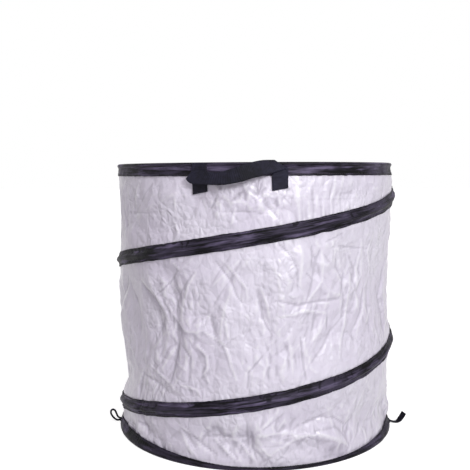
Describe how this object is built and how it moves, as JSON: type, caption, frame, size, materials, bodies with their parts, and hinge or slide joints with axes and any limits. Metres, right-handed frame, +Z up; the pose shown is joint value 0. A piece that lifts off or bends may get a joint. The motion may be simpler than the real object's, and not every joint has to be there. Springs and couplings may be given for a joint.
{
  "type": "pop up leaf bag",
  "caption": "Free-standing pop-up leaf bag: a woven drum held open by a spiral of spring wire, with bound rim and base, webbing handles and closures that tie it flat.",
  "frame": {"origin": "on the ground, under the middle of the base, on the face that the bag stands on", "axes": "+Z up out of the open mouth; -Y towards the front handle; +X to the right seen from the front"},
  "size_m": [0.5531, 0.535, 0.484],
  "materials": {
    "woven_sheet": "satin",
    "binding_tape": "satin",
    "handle_webbing": "matte",
    "closure_cord": "matte",
    "spring_steel": "satin",
    "end_cap_plastic": "matte"
  },
  "bodies": {
    "base": {"base_panel": "woven_sheet", "wall_panel": "woven_sheet", "wall_seam_tape": "binding_tape", "bottom_wire_ring": "spring_steel", "bottom_ring_ferrule": "spring_steel", "bottom_binding": "binding_tape", "spiral_wire": "spring_steel", "spiral_casing": "binding_tape", "spiral_lower_end_cap": "end_cap_plastic", "closure_loop_tab": "handle_webbing", "closure_strap_tab": "handle_webbing"},
    "rim": {"top_wire_ring": "spring_steel", "top_ring_ferrule": "spring_steel", "rim_binding": "binding_tape", "spiral_upper_end_cap": "end_cap_plastic", "front_handle_left_tab": "handle_webbing", "front_handle_right_tab": "handle_webbing", "back_handle_left_tab": "handle_webbing", "back_handle_right_tab": "handle_webbing"},
    "front_handle": {"front_handle_strap": "handle_webbing"},
    "back_handle": {"back_handle_strap": "handle_webbing"},
    "closure_loop": {"closure_loop": "closure_cord"},
    "closure_strap": {"closure_strap": "handle_webbing"}
  },
  "joints": [
    {"name": "collapse", "type": "slide", "parent": "base", "child": "rim", "axis": [0, 0, 1], "range_m": [-0.42, 0], "stiffness_N_per_m": 40, "springref_m": 0.1, "deforming": ["wall_panel", "wall_seam_tape", "spiral_wire", "spiral_casing"]},
    {"name": "front_handle_swing", "type": "hinge", "parent": "rim", "child": "front_handle", "pos_m": [0, -0.24518, 0.4843], "axis": [-1, 0, 0], "range_deg": [0, 180]},
    {"name": "back_handle_swing", "type": "hinge", "parent": "rim", "child": "back_handle", "pos_m": [0, 0.24518, 0.4843], "axis": [1, 0, 0], "range_deg": [0, 180]},
    {"name": "closure_loop_swing", "type": "hinge", "parent": "base", "child": "closure_loop", "pos_m": [-0.2527, -0.04456, 0.0039], "axis": [-0.1736, 0.9848, 0], "range_deg": [0, 40]},
    {"name": "closure_strap_swing", "type": "hinge", "parent": "base", "child": "closure_strap", "pos_m": [0.2559, 0, 0.0039], "axis": [0, -1, 0], "range_deg": [0, 60]}
  ]
}
